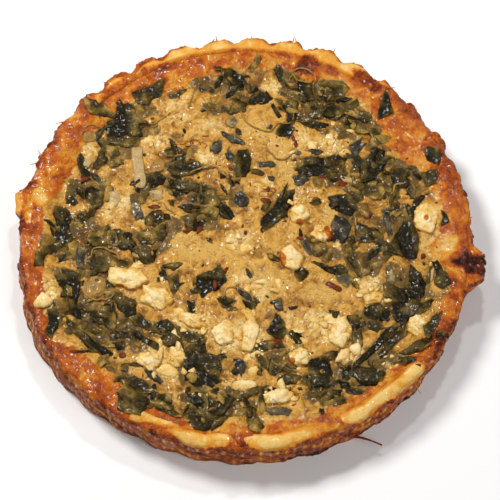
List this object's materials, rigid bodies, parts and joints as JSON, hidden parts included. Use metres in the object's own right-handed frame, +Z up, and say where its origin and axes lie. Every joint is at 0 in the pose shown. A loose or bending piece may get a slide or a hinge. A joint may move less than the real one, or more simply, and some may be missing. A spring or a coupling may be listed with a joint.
{
  "type": "spinach quiche",
  "caption": "Round baked quiche in a fluted pastry shell, filled with egg custard and topped with spinach leaves, white cheese and onion.",
  "frame": {"origin": "centre of the flat underside, which is centred on the tin's axis", "axes": "+Z up out of the filling, +Y to the far side of the quiche, +X to its right"},
  "size_m": [0.2883, 0.279, 0.032],
  "materials": {
    "pastry": "baked shortcrust, browned and crusted with egg",
    "custard": "set egg custard, lightly oily and browned in patches",
    "cheese": "crumbly white cheese, toasted at the edges",
    "spinach": "wilted leaf, wrinkled and glossy",
    "onion": "softly fried onion, amber and translucent"
  },
  "bodies": {
    "root": {"pastry_shell": "pastry", "custard_filling": "custard", "cheese_01": "cheese", "cheese_02": "cheese", "cheese_03": "cheese", "cheese_04": "cheese", "cheese_05": "cheese", "cheese_06": "cheese", "cheese_07": "cheese", "cheese_08": "cheese", "cheese_09": "cheese", "cheese_10": "cheese", "cheese_11": "cheese", "cheese_12": "cheese", "cheese_13": "cheese", "cheese_14": "cheese", "cheese_15": "cheese", "cheese_16": "cheese", "cheese_17": "cheese", "onion_stem_01": "onion", "onion_slice_01": "onion", "onion_slice_02": "onion", "onion_slice_03": "onion", "onion_slice_04": "onion", "spinach_leaf_01": "spinach", "spinach_leaf_02": "spinach", "spinach_leaf_03": "spinach", "spinach_leaf_04": "spinach", "spinach_leaf_05": "spinach", "spinach_leaf_06": "spinach", "spinach_leaf_07": "spinach", "spinach_leaf_08": "spinach", "spinach_leaf_09": "spinach", "spinach_leaf_10": "spinach", "spinach_leaf_11": "spinach", "spinach_leaf_12": "spinach", "spinach_leaf_13": "spinach", "spinach_leaf_14": "spinach", "spinach_leaf_15": "spinach", "spinach_leaf_16": "spinach", "spinach_leaf_17": "spinach", "spinach_leaf_18": "spinach", "spinach_leaf_19": "spinach", "spinach_leaf_20": "spinach", "spinach_leaf_21": "spinach", "spinach_leaf_22": "spinach", "spinach_leaf_23": "spinach", "spinach_leaf_24": "spinach", "spinach_leaf_25": "spinach", "spinach_leaf_26": "spinach", "spinach_leaf_27": "spinach", "spinach_leaf_28": "spinach", "spinach_leaf_29": "spinach", "spinach_leaf_30": "spinach"}
  },
  "joints": []
}
